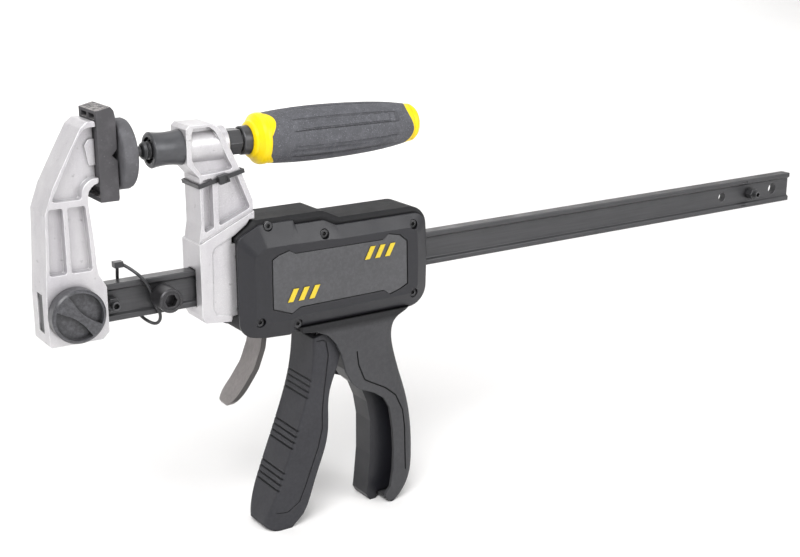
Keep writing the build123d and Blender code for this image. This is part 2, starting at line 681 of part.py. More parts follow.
with BuildPart() as front_body_shell:
    extrude(rounded(body_points, 0), amount=shell_half)
    top_edges = front_body_shell.faces().sort_by(Axis.Y)[0].edges()
    chamfer(top_edges, length=2.2)
    add(front_handle.part)
    with BuildSketch(side_plane(-handle_half)):
        with BuildLine():
            FilletPolyline(*handle_groove, radius=4)
            offset(amount=groove_width / 2)
        make_face()
    extrude(amount=-0.8, mode=Mode.SUBTRACT)
    extrude(outline(cavity_points, 0, 1.0), amount=cavity_half, mode=Mode.SUBTRACT)
    add(pocket.part, mode=Mode.SUBTRACT)
    extrude(outline(swing_points, 0), amount=cheek_outer + 0.8, mode=Mode.SUBTRACT)
    extrude(outline(lever_slot, 0), amount=lever_half + 0.8, mode=Mode.SUBTRACT)
    for rib in [brake_rib, drive_rib] + lever_ribs:
        extrude(outline(rib, -0.1), amount=cavity_half)
    extrude(discs(boss_places, 3.4, -cavity_half + 0.2), amount=2.8)
    add(bar_window(rear_wall - 2, 20, 1.0), mode=Mode.SUBTRACT)
    extrude(discs(screw_places, screw_shank_r + screw_fit, -cheek_outer), amount=12,
            mode=Mode.SUBTRACT)
    extrude(discs([(66.3, 16.5), (66.3, -14.2)], jaw_pin_r + screw_fit, 0), amount=shell_half + 1,
            mode=Mode.SUBTRACT)
    extrude(discs([(pivot_x, pivot_height)], pivot_r + screw_fit, 0), amount=shell_half + 1,
            mode=Mode.SUBTRACT)
save(front_body_shell, "front_body_shell")

with BuildPart() as back_body_shell:
    mirror(front_body_shell.part, about=Plane.XZ)
save(back_body_shell, "back_body_shell")

# ---------------------------------------------------------------- side covers
cover_base = [(63.4, -29.4, 10.0), (80.0, -32.6, 8.0), (95.0, -33.4, 2.0), (101.0, -29.8, 2.0),
              (189.8, -29.6, 11.0), (190.4, 0, 0), (189.6, 27.6, 9.0), (127.0, 27.6, 3.0),
              (118.6, 31.6, 3.0), (99.8, 31.6, 0.8), (98.4, 34.2, 0.8), (77.0, 34.2, 4.0),
              (63.2, 27.2, 6.0)]
cover_top = [(72.0, -20.4, 5.0), (82.0, -22.6, 4.0), (94.0, -23.0, 2.0), (102.0, -21.6, 2.0),
             (181.6, -20.8, 6.0), (182.0, 0, 0), (181.4, 20.2, 5.0), (128.0, 20.2, 3.0),
             (119.0, 20.8, 3.0), (102.0, 21.0, 0.8), (97.0, 21.2, 0.8), (80.0, 21.2, 3.0),
             (72.0, 17.2, 4.0)]
side_plate_points = [(82.5, 14.0), (86.5, 16.3), (93.5, 18.2), (97.5, 15.9), (157.0, 15.6),
                     (161.2, 18.6), (169.0, 16.9), (174.3, 12.5), (174.7, -14.5), (169.0, -17.2),
                     (161.8, -19.2), (157.6, -16.2), (100.0, -16.8), (94.6, -20.0), (82.4, -15.5)]
head_depth = {(82.5, 33.0): 17.2, (75.0, -21.9): 18.6, (117.8, 24.0): 18.6,
              (179.5, 21.4): 18.2, (179.5, -21.4): 18.4, (99.7, -27.2): 17.6}

with BuildPart() as front_cover:
    extrude(rounded(cover_base, -shell_half - 0.05), amount=cover_edge - shell_half - 0.05)
    loft([rounded(cover_base, -cover_edge).face(), rounded(cover_top, -cover_face).face()],
         ruled=True)
    extrude(outline(side_plate_points, -cover_face), amount=-plate_recess, mode=Mode.SUBTRACT)
    for place, depth in head_depth.items():
        extrude(discs([place], cover_screw_hole_r, -depth + 2.0), amount=8, mode=Mode.SUBTRACT)
        extrude(discs([place], screw_shank_r + screw_fit, -cheek_outer), amount=12,
                mode=Mode.SUBTRACT)
save(front_cover, "front_cover")

with BuildPart() as back_cover:
    mirror(front_cover.part, about=Plane.XZ)
save(back_cover, "back_cover")

inset_points = [(x * 0.985 + 1.93, h * 0.97) for x, h in side_plate_points]
with BuildPart() as front_side_plate:
    extrude(outline(inset_points, -cover_face + plate_recess - 0.02), amount=plate_recess - 0.2)
save(front_side_plate, "front_side_plate")
with BuildPart() as back_side_plate:
    mirror(front_side_plate.part, about=Plane.XZ)
save(back_side_plate, "back_side_plate")

accent_y = -cover_face + 0.18
accent_rows = [(plate_left + accent_margin, -accent_rise - accent_height),
               (plate_right - accent_margin - 3 * accent_pitch, accent_rise)]
with BuildPart() as front_accents:
    for row_x, row_height in accent_rows:
        for step in range(3):
            x = row_x + step * accent_pitch
            slash = [(x, row_height), (x + accent_width, row_height),
                     (x + accent_width + accent_lean, row_height + accent_height),
                     (x + accent_lean, row_height + accent_height)]
            extrude(outline(slash, accent_y), amount=accent_thick)
save(front_accents, "front_accents")
with BuildPart() as back_accents:
    mirror(front_accents.part, about=Plane.XZ)
save(back_accents, "back_accents")

with BuildPart() as cover_screws:
    for place, depth in head_depth.items():
        seat = -depth + 2.0
        extrude(discs([place], cover_screw_r, seat - 0.02), amount=2.0)
        extrude(hexagon(place, 2.4, seat - 2.02), amount=-1.2, mode=Mode.SUBTRACT)
        extrude(discs([place], screw_shank_r, -cavity_half), amount=-seat - cavity_half)
    mirror(about=Plane.XZ)
save(cover_screws, "cover_screws")

# ---------------------------------------------------------------- inside the housing
post_points = [(134.0, -32.2), (134.0, -52.0), (137.0, -66.0), (142.5, -75.0), (148.5, -80.5),
               (152.4, -90.0), (154.6, -103.0), (154.4, low(30.5)), (152.8, low(14.5)),
               (151.6, low(4.0)), (153.8, low(0)), (158.6, low(0)), (159.2, low(4.7)),
               (165.8, low(4.8)), (171.6, low(9.6)), (175.6, low(16.9)), (177.0, low(29.5)),
               (176.4, -107.8), (172.5, -87.2), (168.1, -72.6), (163.8, -57.6),
               (162.0, -43.0), (162.4, -38.2), (159.2, -32.2)]
with BuildPart() as handle_post:
    extrude(outline(post_points, post_half, 1.0), amount=2 * post_half)
save(handle_post, "handle_post")

guide_start = 166.0
guide_length = 20.0
with BuildPart() as rear_bar_guide:
    extrude(end_box(guide_start, 2 * (cavity_half - 0.2), -17.0, 17.0), amount=guide_length)
    add(bar_window(guide_start - 1, guide_length + 2, bar_clearance), mode=Mode.SUBTRACT)
save(rear_bar_guide, "rear_bar_guide")

with BuildPart() as trigger_pivot_pin:
    extrude(discs([(pivot_x, pivot_height)], pivot_r, shell_half - 0.1),
            amount=2 * (shell_half - 0.1))
save(trigger_pivot_pin, "trigger_pivot_pin")

# ---------------------------------------------------------------- trigger
grip_sections = [(-36.0, 112.2, 123.5, 3.0), (-46.0, 112.0, 128.5, 2.6), (-60.0, 110.6, 127.2, 2.0),
                 (-80.0, 105.4, 121.0, 2.0), (-99.0, 98.4, 120.3, 2.0),
                 (low(36.5), 90.0, 114.2, 2.2), (low(15.5), 81.8, 106.5, 4.0),
                 (low(7.0), 79.0, 102.6, 7.0), (low(-0.5), 78.4, 99.0, 9.0)]
channel_sections = [(-30.0, 115.0), (-46.0, 114.8), (-60.0, 113.2), (-80.0, 108.0),
                    (-99.0, 102.0), (low(36.5), 94.4), (low(15.5), 86.4), (low(5.0), 84.2)]
grip_ends = [(70.0, -50.0), (108.0, -44.5), (112.4, -39.8), (116.5, -38.0), (121.5, -38.2),
             (126.4, -41.2), (131.0, -48.0), (145.0, -60.0), (145.0, low(16.5)),
             (106.6, low(14.5)), (102.2, low(7.1)), (94.0, low(0)), (83.0, low(0)),
             (79.6, low(1.6)), (70.0, low(8.5))]
channel_half = trigger_half - trigger_wall
channel_rear = 150.0
ridge_groups = [-65.5, -95.5, -120.5]
ridge_pitch = 3.5
ridge_height = 1.2
ridges_in_group = 4
seam_width = 0.7
seam_depth = 0.6
trigger_seam = [(110.0, -41.6), (119.6, -41.4), (121.4, -51.5), (118.2, -72.9), (116.6, -85.4),
                (116.4, -97.0), (113.2, -109.0), (103.7, -132.3), (99.6, -141.0), (91.7, -145.8),
                (82.9, -144.6)]


def trigger_front(height):
    """Where the trigger's front face is at a height, between the sections it is made of."""
    for upper, lower in zip(grip_sections, grip_sections[1:]):
        if upper[0] >= height >= lower[0]:
            share = (upper[0] - height) / (upper[0] - lower[0])
            return upper[1] + share * (lower[1] - upper[1])
    return grip_sections[-1][1]


def trigger_section(height, front, rear, half, corner):
    """Plan section of the trigger at a height, with its two front corners rounded."""
    with BuildSketch(Plane.XY.offset(bar_z + height)) as section:
        with Locations(((front + rear) / 2, 0)):
            Rectangle(rear - front, 2 * half)
        fillet(section.vertices().sort_by(Axis.X)[:2], radius=corner)
    return section.sketch.face()


with BuildPart() as channel:
    loft([trigger_section(height, front, channel_rear, channel_half, 1.0)
          for height, front in channel_sections])

with BuildPart() as trigger_grip:
    loft([trigger_section(height, front, rear, trigger_half, corner)
          for height, front, rear, corner in grip_sections])
    extrude(outline(grip_ends, trigger_half + 1, 1.5), amount=2 * trigger_half + 2,
            mode=Mode.INTERSECT)
    add(channel.part, mode=Mode.SUBTRACT)
    for group in ridge_groups:
        for step in range(ridges_in_group):
            height = group - step * ridge_pitch
            with BuildSketch(side_plane(trigger_half)):
                with Locations((trigger_front(height), height)):
                    Rectangle(2 * ridge_depth, ridge_height)
            extrude(amount=2 * trigger_half, mode=Mode.SUBTRACT)
    for side in (-trigger_half, trigger_half):
        with BuildSketch(side_plane(side)):
            with BuildLine():
                FilletPolyline(*trigger_seam, radius=3)
                offset(amount=seam_width / 2)
            make_face()
        extrude(amount=seam_depth, both=True, mode=Mode.SUBTRACT)
save(trigger_grip, "trigger_grip")

cheek_points = [(100.8, 21.0), (102.4, 25.6), (107.0, 27.2), (111.6, 25.6), (113.2, 21.0),
                (111.4, 8.0), (112.6, -14.0), (124.0, -40.0), (124.5, -64.0), (119.0, -78.0),
                (111.6, -78.0), (116.8, -54.0), (117.0, -37.0), (104.6, -16.0), (103.6, 8.0)]
cheek_depth = cheek_outer - cheek_inner
with BuildPart() as trigger_core:
    extrude(outline(cheek_points, cheek_outer, 1.0), amount=cheek_depth)
    extrude(outline(cheek_points, -cheek_inner, 1.0), amount=cheek_depth)
    extrude(discs([(nose_x, nose_height)], nose_r, cheek_inner + 0.2), amount=2 * cheek_inner + 0.4)
    extrude(discs([(pivot_x, pivot_height)], pivot_r + pin_fit, cheek_outer + 1),
            amount=2 * cheek_outer + 2, mode=Mode.SUBTRACT)
save(trigger_core, "trigger_core")

# ---------------------------------------------------------------- drive plates and release lever
with BuildPart() as drive_plate_front:
    extrude(end_box(drive_plate_x, 2 * drive_plate_half, -22.0, 18.0), amount=drive_plate_thick)
    add(bar_window(drive_plate_x - 1, drive_plate_thick + 2, bar_clearance), mode=Mode.SUBTRACT)
save(drive_plate_front, "drive_plate_front")
rear_plate_x = drive_plate_x + drive_plate_thick + drive_plate_gap
with BuildPart() as drive_plate_rear:
    extrude(end_box(rear_plate_x, 2 * drive_plate_half, -22.0, 18.0), amount=drive_plate_thick)
    add(bar_window(rear_plate_x - 1, drive_plate_thick + 2, bar_clearance), mode=Mode.SUBTRACT)
save(drive_plate_rear, "drive_plate_rear")

lever_line = [(87.0, 26.0), (83.2, -28.0), (81.3, -41.0), (76.6, -53.0), (69.8, -62.4),
              (60.8, -73.0)]
lever_tip = -74.6
with BuildPart() as release_lever:
    with BuildSketch(side_plane(lever_half)):
        with BuildLine():
            FilletPolyline(*lever_line, radius=18)
            offset(amount=lever_thick / 2)
        make_face()
    extrude(amount=2 * lever_half)
    with BuildSketch(end_plane(50)):
        with Locations((0, lever_tip + lever_half)):
            Circle(lever_half - 0.05)
        with Locations((0, lever_tip + lever_half + 60)):
            Rectangle(2 * lever_half + 1, 120)
    extrude(amount=60, mode=Mode.INTERSECT)
    window_reach = bar_height / 2 + lever_window
    window = end_box(75, bar_thick + 2 * lever_window, -window_reach, window_reach)
    extrude(window, amount=20, mode=Mode.SUBTRACT)
save(release_lever, "release_lever")

spring_end_gap = spring_wire_r + 0.1
brake_spring_start = 86.0 + spring_end_gap
brake_spring_length = brake_rib_x - spring_end_gap - brake_spring_start
brake_spring = coil(brake_spring_start, -17.0, spring_r, brake_spring_length, 4)
save(brake_spring, "brake_spring")
drive_spring_start = rear_plate_x + drive_plate_thick + spring_end_gap
drive_spring_length = drive_rib_x - spring_end_gap - drive_spring_start
drive_spring = coil(drive_spring_start, 15.6, spring_r - 0.4, drive_spring_length, 9)
save(drive_spring, "drive_spring")

# ---------------------------------------------------------------- cable ties
tie_wide = 2.3
tie_thick = 0.9
tie_cord_r = 0.9
arm_tie_gap = 0.15
arm_tie_drop = 18.0        # below the screw's axis
tie_half = arm_half + arm_tie_gap
tie_plane = Plane(origin=(58.1, 0, -arm_tie_drop), x_dir=(1, 0, 0.226), z_dir=(-0.226, 0, 1))
tie_span = 27.0
with BuildPart() as arm_cable_tie:
    with BuildSketch(tie_plane):
        Rectangle(tie_span + 2 * tie_thick, 2 * (tie_half + tie_thick))
        Rectangle(tie_span, 2 * tie_half, mode=Mode.SUBTRACT)
    extrude(amount=tie_wide / 2, both=True)
    with BuildSketch(tie_plane):
        with Locations((0.6, -tie_half - tie_thick - 1.1)):
            Rectangle(6.0, 3.0)
    extrude(amount=2.3, both=True)
    with BuildSketch(tie_plane):
        with Locations((1.6, -tie_half - tie_thick - 2.7)):
            Rectangle(1.8, 1.2)
    extrude(amount=1.6, both=True, mode=Mode.SUBTRACT)
save(arm_cable_tie, "arm_cable_tie")

tie_route = [(0.4, 3.0, 19.4), (1.0, 4.6, 14.0), (1.4, 5.7, 9.0), (5.0, 5.9, 0.0),
             (10.0, 5.7, -8.0), (13.2, 4.6, -12.9), (16.2, 1.4, -15.9), (19.2, -1.6, -16.8),
             (20.6, -4.6, -13.4), (19.8, -5.7, -9.0), (17.2, -5.8, -3.6), (16.0, -5.9, 1.5),
             (13.4, -6.0, 7.8), (9.8, -5.6, 12.7), (6.6, -2.0, 16.0), (3.2, 1.4, 18.6)]
tie_points = [(x, y, bar_z + height) for x, y, height in tie_route]
with BuildPart() as bar_cable_tie:
    with BuildLine() as route:
        Spline(*tie_points)
    with BuildSketch(Plane(origin=route.line @ 0, z_dir=route.line % 0)):
        Circle(tie_cord_r)
    sweep(path=route.line)
    with BuildSketch(Plane(origin=(0.4, 1.8, bar_z + 17.6), z_dir=(0, 0, 1))):
        Rectangle(5.0, 4.4)
    extrude(amount=3.2)
save(bar_cable_tie, "bar_cable_tie")
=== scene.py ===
import json
import math

import bmesh
import bpy
from mathutils import Matrix, Vector


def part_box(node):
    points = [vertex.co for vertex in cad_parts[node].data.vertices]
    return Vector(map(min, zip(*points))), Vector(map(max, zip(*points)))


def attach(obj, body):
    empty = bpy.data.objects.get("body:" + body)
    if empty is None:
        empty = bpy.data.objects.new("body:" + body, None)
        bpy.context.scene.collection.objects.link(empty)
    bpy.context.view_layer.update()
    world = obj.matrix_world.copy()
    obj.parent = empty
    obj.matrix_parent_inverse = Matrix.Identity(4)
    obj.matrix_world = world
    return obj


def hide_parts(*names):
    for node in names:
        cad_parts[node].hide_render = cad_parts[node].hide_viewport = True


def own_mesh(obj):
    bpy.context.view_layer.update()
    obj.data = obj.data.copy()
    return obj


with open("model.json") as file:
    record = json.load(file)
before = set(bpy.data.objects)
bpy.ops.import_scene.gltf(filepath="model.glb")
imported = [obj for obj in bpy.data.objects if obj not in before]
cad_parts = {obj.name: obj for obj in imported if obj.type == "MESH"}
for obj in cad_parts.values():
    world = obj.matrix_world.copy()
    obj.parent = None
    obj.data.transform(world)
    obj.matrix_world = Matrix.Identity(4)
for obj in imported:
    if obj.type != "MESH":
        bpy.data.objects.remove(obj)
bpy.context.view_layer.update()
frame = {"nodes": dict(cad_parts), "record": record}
nodes = frame["nodes"]
slot_of = {entry["node"]: entry["material_slot"] for entry in frame["record"]["subparts"]}
scene = bpy.context.scene

# ---------------------------------------------------------------- places, in metres
# X runs along the bar and is the screw's axis, Y runs across the bar, and Z is up.
BAR_HEIGHT = -0.0796
FEET_BELOW_BAR = 0.1565
FLOOR_HEIGHT = BAR_HEIGHT - FEET_BELOW_BAR
GRIP_START, GRIP_END = (corner[0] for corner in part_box("handle_grip"))
HOUSING_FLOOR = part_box("front_cover")[0][2]

# ---------------------------------------------------------------- camera
CAMERA_PLACE = Vector((-0.2523, -0.6529, 0.1290))
CAMERA_AZIMUTH = math.radians(-33.66)
CAMERA_ELEVATION = math.radians(16.08)
FOCAL_PIXELS = 1315.9
PHOTO_WIDTH = 800
SENSOR_WIDTH = 36.0
NEAREST_SEEN = 0.01


def add_camera():
    """The photo's camera, level from side to side."""
    back = Vector((math.sin(CAMERA_AZIMUTH) * math.cos(CAMERA_ELEVATION),
                   -math.cos(CAMERA_AZIMUTH) * math.cos(CAMERA_ELEVATION),
                   math.sin(CAMERA_ELEVATION)))
    right = Vector((0, 0, 1)).cross(back).normalized()
    up = back.cross(right)
    data = bpy.data.cameras.new("camera")
    data.sensor_width = SENSOR_WIDTH
    data.lens = FOCAL_PIXELS / PHOTO_WIDTH * SENSOR_WIDTH
    data.clip_start = NEAREST_SEEN
    camera = bpy.data.objects.new("camera", data)
    camera.matrix_world = Matrix((
        (right.x, up.x, back.x, CAMERA_PLACE.x),
        (right.y, up.y, back.y, CAMERA_PLACE.y),
        (right.z, up.z, back.z, CAMERA_PLACE.z),
        (0, 0, 0, 1)))
    scene.collection.objects.link(camera)
    scene.camera = camera


add_camera()


# ---------------------------------------------------------------- node helpers
EDGE_COSINES = (0.995, 0.80)    # between the rounded and the flat normal, off and on an edge
OPENNESS = (0.35, 0.95)         # ambient occlusion's value in a crevice and on an open face
BLACK = (0.0, 0.0, 0.0, 1.0)
WHITE = (1.0, 1.0, 1.0, 1.0)
SHADER_SAMPLES = 6


class Graph:
    """A short way to write a material's nodes."""

    def __init__(self, name):
        self.material = bpy.data.materials.new(name)
        self.material.use_nodes = True
        self.tree = self.material.node_tree
        self.tree.nodes.clear()
        self.coordinates = self.node("ShaderNodeTexCoord").outputs["Object"]

    def node(self, kind, **settings):
        made = self.tree.nodes.new(kind)
        for key, value in settings.items():
            setattr(made, key, value)
        return made

    def put(self, socket, value):
        """Link or set a socket; None leaves it alone."""
        if isinstance(value, bpy.types.NodeSocket):
            self.tree.links.new(value, socket)
        elif value is not None:
            socket.default_value = value

    def noise(self, scale, detail=2.0, roughness=0.5, stretch=None):
        place = self.coordinates
        if stretch:
            mapping = self.node("ShaderNodeMapping")
            self.put(mapping.inputs["Vector"], place)
            self.put(mapping.inputs["Scale"], stretch)
            place = mapping.outputs["Vector"]
        made = self.node("ShaderNodeTexNoise")
        for key, value in (("Vector", place), ("Scale", scale), ("Detail", detail),
                           ("Roughness", roughness)):
            self.put(made.inputs[key], value)
        return made.outputs["Fac"]

    def span(self, value, low, high, to_low=0.0, to_high=1.0):
        """The value's place between low and high, clamped and mapped onto to_low and to_high."""
        made = self.node("ShaderNodeMapRange")
        for key, number in (("Value", value), ("From Min", low), ("From Max", high),
                            ("To Min", to_low), ("To Max", to_high)):
            self.put(made.inputs[key], number)
        return made.outputs["Result"]

    def calc(self, operation, first, second=None, third=None):
        made = self.node("ShaderNodeMath", operation=operation)
        for socket, value in zip(made.inputs, (first, second, third)):
            self.put(socket, value)
        return made.outputs[0]

    def split(self, vector):
        made = self.node("ShaderNodeSeparateXYZ")
        self.put(made.inputs[0], vector)
        return made.outputs

    def facing(self):
        return self.node("ShaderNodeNewGeometry").outputs["Normal"]

    def mix(self, share, first, second):
        made = self.node("ShaderNodeMix", data_type="RGBA")
        self.put(made.inputs[0], share)
        self.put(made.inputs[6], first)
        self.put(made.inputs[7], second)
        return made.outputs[2]

    def overlay(self, colour, mask, strength, over):
        """The colour with over laid on it, where the mask is 1, at the given strength."""
        return self.mix(self.calc("MULTIPLY", mask, strength), colour, over)

    def scaled(self, colour, factor):
        made = self.node("ShaderNodeVectorMath", operation="SCALE")
        self.put(made.inputs[0], colour)
        self.put(made.inputs["Scale"], factor)
        return made.outputs[0]

    def bump(self, height, strength, distance, normal):
        made = self.node("ShaderNodeBump")
        for key, value in (("Height", height), ("Strength", strength), ("Distance", distance),
                           ("Normal", normal)):
            self.put(made.inputs[key], value)
        return made.outputs["Normal"]

    def rounded(self, radius):
        """(normal that rounds edges off by radius, how much of an edge a point is from 0 to 1)."""
        made = self.node("ShaderNodeBevel", samples=SHADER_SAMPLES)
        self.put(made.inputs["Radius"], radius)
        turned = self.node("ShaderNodeVectorMath", operation="DOT_PRODUCT")
        self.put(turned.inputs[0], made.outputs["Normal"])
        self.put(turned.inputs[1], self.facing())
        return made.outputs["Normal"], self.span(turned.outputs["Value"], *EDGE_COSINES)

    def painted_crevice_shade(self, colour, reach, depth):
        """The colour with painted shade: darkened to depth times itself in grooves and corners
        within reach.
        """
        made = self.node("ShaderNodeAmbientOcclusion", samples=SHADER_SAMPLES)
        self.put(made.inputs["Distance"], reach)
        shade = self.span(made.outputs["AO"], *OPENNESS, depth, 1.0)
        return self.mix(shade, BLACK, colour)

    def finish(self, **sockets):
        """Put the values on a Principled shader and return the material."""
        shader = self.node("ShaderNodeBsdfPrincipled")
        for key, value in sockets.items():
            self.put(shader.inputs[key.replace("_", " ").title().replace("Ior", "IOR")], value)
        output = self.node("ShaderNodeOutputMaterial")
        self.tree.links.new(shader.outputs["BSDF"], output.inputs["Surface"])
        return self.material


def tint(colour, factor):
    return tuple(min(1.0, c * factor) for c in colour[:3]) + (1.0,)


def grey(level, blue=None):
    """A grey, or one with its blue a little higher."""
    return (level, level, level if blue is None else blue, 1.0)


# ---------------------------------------------------------------- materials
# Noise scales are per metre, and lengths are in metres.
CAST_DARK = (0.45, 0.435, 0.46, 1.0)
CAST_PALE = (0.53, 0.52, 0.53, 1.0)
CAST_PIT = tint((0.48, 0.468, 0.484), 0.66)
CAST_STREAK = (0.62, 0.61, 0.62, 1.0)
CAST_SPARKLE = grey(0.80, 0.81)
CAST_GRIME = (0.30, 0.28, 0.27, 1.0)
# colour of rubbed edges on the casting, also a painted highlight
CAST_BARE_AND_HIGHLIGHT = grey(0.93, 0.94)
DUST = (0.36, 0.34, 0.33, 1.0)
YELLOW = (0.88, 0.63, 0.002, 1.0)
ACCENT_YELLOW = (0.62, 0.465, 0.022, 1.0)
GRIP_BLACK = (0.074, 0.075, 0.084, 1.0)
PAPER_DARK = (0.90, 0.89, 0.885, 1.0)
PAPER_PALE = (0.94, 0.935, 0.93, 1.0)


def cast_metal():
    """Silver paint over an aluminium casting: fine sparkle, lilac mottling, and bright edges that
    are partly rubbed paint and partly a painted highlight.
    """
    g = Graph("cast_aluminium_paint")
    normal, edge = g.rounded(0.0008)
    cloud = g.span(g.noise(35.0, 4.0, 0.6), 0.3, 0.7)
    streaks = g.span(g.noise(1.0, 4.0, 0.65, stretch=(160.0, 160.0, 26.0)), 0.42, 0.72)
    sparkle = g.span(g.noise(2600.0, 1.0), 0.56, 0.72)
    pits = g.span(g.noise(260.0, 3.0, 0.65), 0.26, 0.36)
    grime = g.span(g.noise(48.0, 6.0, 0.72), 0.60, 0.76)
    # edge mask: rubbed paint and a painted highlight on the casting's edges
    edge_wear_and_light_mask = g.calc("MULTIPLY", edge, g.span(g.noise(210.0, 3.0), 0.34, 0.6, 0.45, 1.0))
    colour = g.mix(cloud, CAST_DARK, CAST_PALE)
    colour = g.overlay(colour, streaks, 0.30, CAST_STREAK)
    colour = g.overlay(colour, sparkle, 0.40, CAST_SPARKLE)
    colour = g.mix(pits, CAST_PIT, colour)
    colour = g.overlay(colour, grime, 0.22, CAST_GRIME)
    colour = g.overlay(colour, edge_wear_and_light_mask, 0.95, CAST_BARE_AND_HIGHLIGHT)
    # painted shade in the casting's grooves and corners
    colour = g.painted_crevice_shade(colour, 0.0014, 0.62)
    rough = g.span(g.noise(90.0, 3.0), 0.3, 0.7, 0.30, 0.44)
    relief = g.bump(g.noise(1500.0, 3.0), 0.3, 0.00012, normal)
    relief = g.bump(g.noise(240.0, 2.0), 0.3, 0.0004, relief)
    return g.finish(base_color=colour, metallic=0.5, roughness=rough, normal=relief)


def moulded(name, base, rough, grain=1400.0, depth=0.00010, edge_light=1.7, radius=0.0007,
            gloss=0.5, mottle=0.25, groove_shade=0.12, painted_handle_light=1.0):
    """Moulded plastic: spark-eroded grain, faint colour drift, and edges lightened partly by
    scuffs and partly as a painted highlight.

    Below the housing the colour is multiplied by a given factor: painted light that makes the part
    below the housing lighter than its top. In grooves it gets painted shade, darkened by another
    factor."""
    g = Graph(name)
    normal, edge = g.rounded(radius)
    drift = g.span(g.noise(22.0, 3.0), 0.3, 0.7)
    scuffs = g.span(g.noise(150.0, 5.0, 0.7, stretch=(1.0, 0.4, 2.2)), 0.66, 0.8)
    skin = g.span(g.noise(520.0, 3.0, 0.7), 0.40, 0.66)
    # edge mask: scuffs and a painted highlight on the edges
    edge_wear_and_light = g.calc("MULTIPLY", edge, g.span(g.noise(320.0, 3.0), 0.35, 0.65, 0.25, 0.9))
    colour = g.mix(drift, tint(base, 0.92), tint(base, 1.10))
    colour = g.overlay(colour, scuffs, 0.25, tint(base, 2.0))
    colour = g.overlay(colour, skin, mottle, tint(base, 2.2))
    colour = g.overlay(colour, edge_wear_and_light, 0.6, tint(base, edge_light))
    # painted shade in grooves and corners
    colour = g.painted_crevice_shade(colour, 0.0024, groove_shade)
    # painted light: the part below the housing made lighter than its top
    if painted_handle_light != 1.0:
        height = g.split(g.coordinates)[2]
        fade = 0.004
        colour = g.scaled(colour, g.span(height, HOUSING_FLOOR, HOUSING_FLOOR - fade, 1.0, painted_handle_light))
    shine = g.span(g.noise(60.0, 3.0), 0.3, 0.7, rough - 0.05, rough + 0.07)
    relief = g.bump(g.noise(grain, 2.0, 0.6), 0.35, depth, normal)
    return g.finish(base_color=colour, roughness=shine, normal=relief, specular_ior_level=gloss)


def rubber(name, base, mottle=2.2, amount=0.35, top_dust=0.0):
    """Matt rubber with a mottled skin, small dents, and pale dust where it faces up."""
    g = Graph(name)
    normal, edge = g.rounded(0.0008)
    bloom = g.span(g.noise(110.0, 6.0, 0.7), 0.47, 0.66)
    specks = g.span(g.noise(900.0, 2.0), 0.66, 0.74)
    colour = g.overlay(base, bloom, amount, tint(base, mottle))
    colour = g.overlay(colour, specks, 0.4, tint(base, mottle * 1.3))
    colour = g.overlay(colour, edge, 0.35, tint(base, mottle))
    if top_dust:
        upward = g.span(g.split(g.facing())[2], 0.55, 0.95, 0.0, top_dust)
        patches = g.span(g.noise(420.0, 5.0, 0.75), 0.44, 0.58)
        colour = g.mix(g.calc("MULTIPLY", upward, patches), colour, DUST)
    rough = g.span(bloom, 0.0, 1.0, 0.62, 0.80)
    relief = g.bump(g.noise(700.0, 3.0, 0.6), 0.5, 0.00022, normal)
    relief = g.bump(g.noise(120.0, 2.0), 0.3, 0.0005, relief)
    return g.finish(base_color=colour, roughness=rough, normal=relief, specular_ior_level=0.3)


def worked_steel(name, base, rough, metallic, stretch, edge_wear_and_light_colour, radius=0.0005, edge_wear_and_light=0.5,
                 side_face_shade=1.0):
    """Steel with edges in the edge colour, partly rubbed metal and partly painted edge light and
    shade, and marks that are longest where stretch is least.

    On faces that look across the bar, the colour is multiplied by the side factor: painted shade
    that darkens those sides."""
    g = Graph(name)
    normal, edge = g.rounded(radius)
    lines = g.noise(1.0, 4.0, 0.65, stretch=stretch)
    smear = g.span(g.noise(40.0, 4.0, 0.6), 0.35, 0.7)
    # edge mask: rubbed metal and painted edge light
    edge_wear_and_light_mask = g.calc("MULTIPLY", edge, g.span(g.noise(260.0, 4.0), 0.38, 0.62, 0.1, 1.0))
    colour = g.mix(g.span(lines, 0.3, 0.7), tint(base, 0.86), tint(base, 1.16))
    colour = g.overlay(colour, smear, 0.3, tint(base, 1.35))
    colour = g.overlay(colour, edge_wear_and_light_mask, edge_wear_and_light, edge_wear_and_light_colour)
    # painted shade in grooves and corners
    colour = g.painted_crevice_shade(colour, 0.0030, 0.25)
    # painted shade on the faces that look across the bar
    if side_face_shade != 1.0:
        across = g.calc("ABSOLUTE", g.split(g.facing())[1])
        colour = g.scaled(colour, g.span(across, 0.70, 0.90, 1.0, side_face_shade))
    shine = g.span(g.noise(70.0, 3.0), 0.3, 0.7, rough - 0.06, rough + 0.09)
    relief = g.bump(lines, 0.16, 0.0002, normal)
    relief = g.bump(g.noise(900.0, 2.0), 0.12, 0.0001, relief)
    return g.finish(base_color=colour, metallic=metallic, roughness=shine, normal=relief)


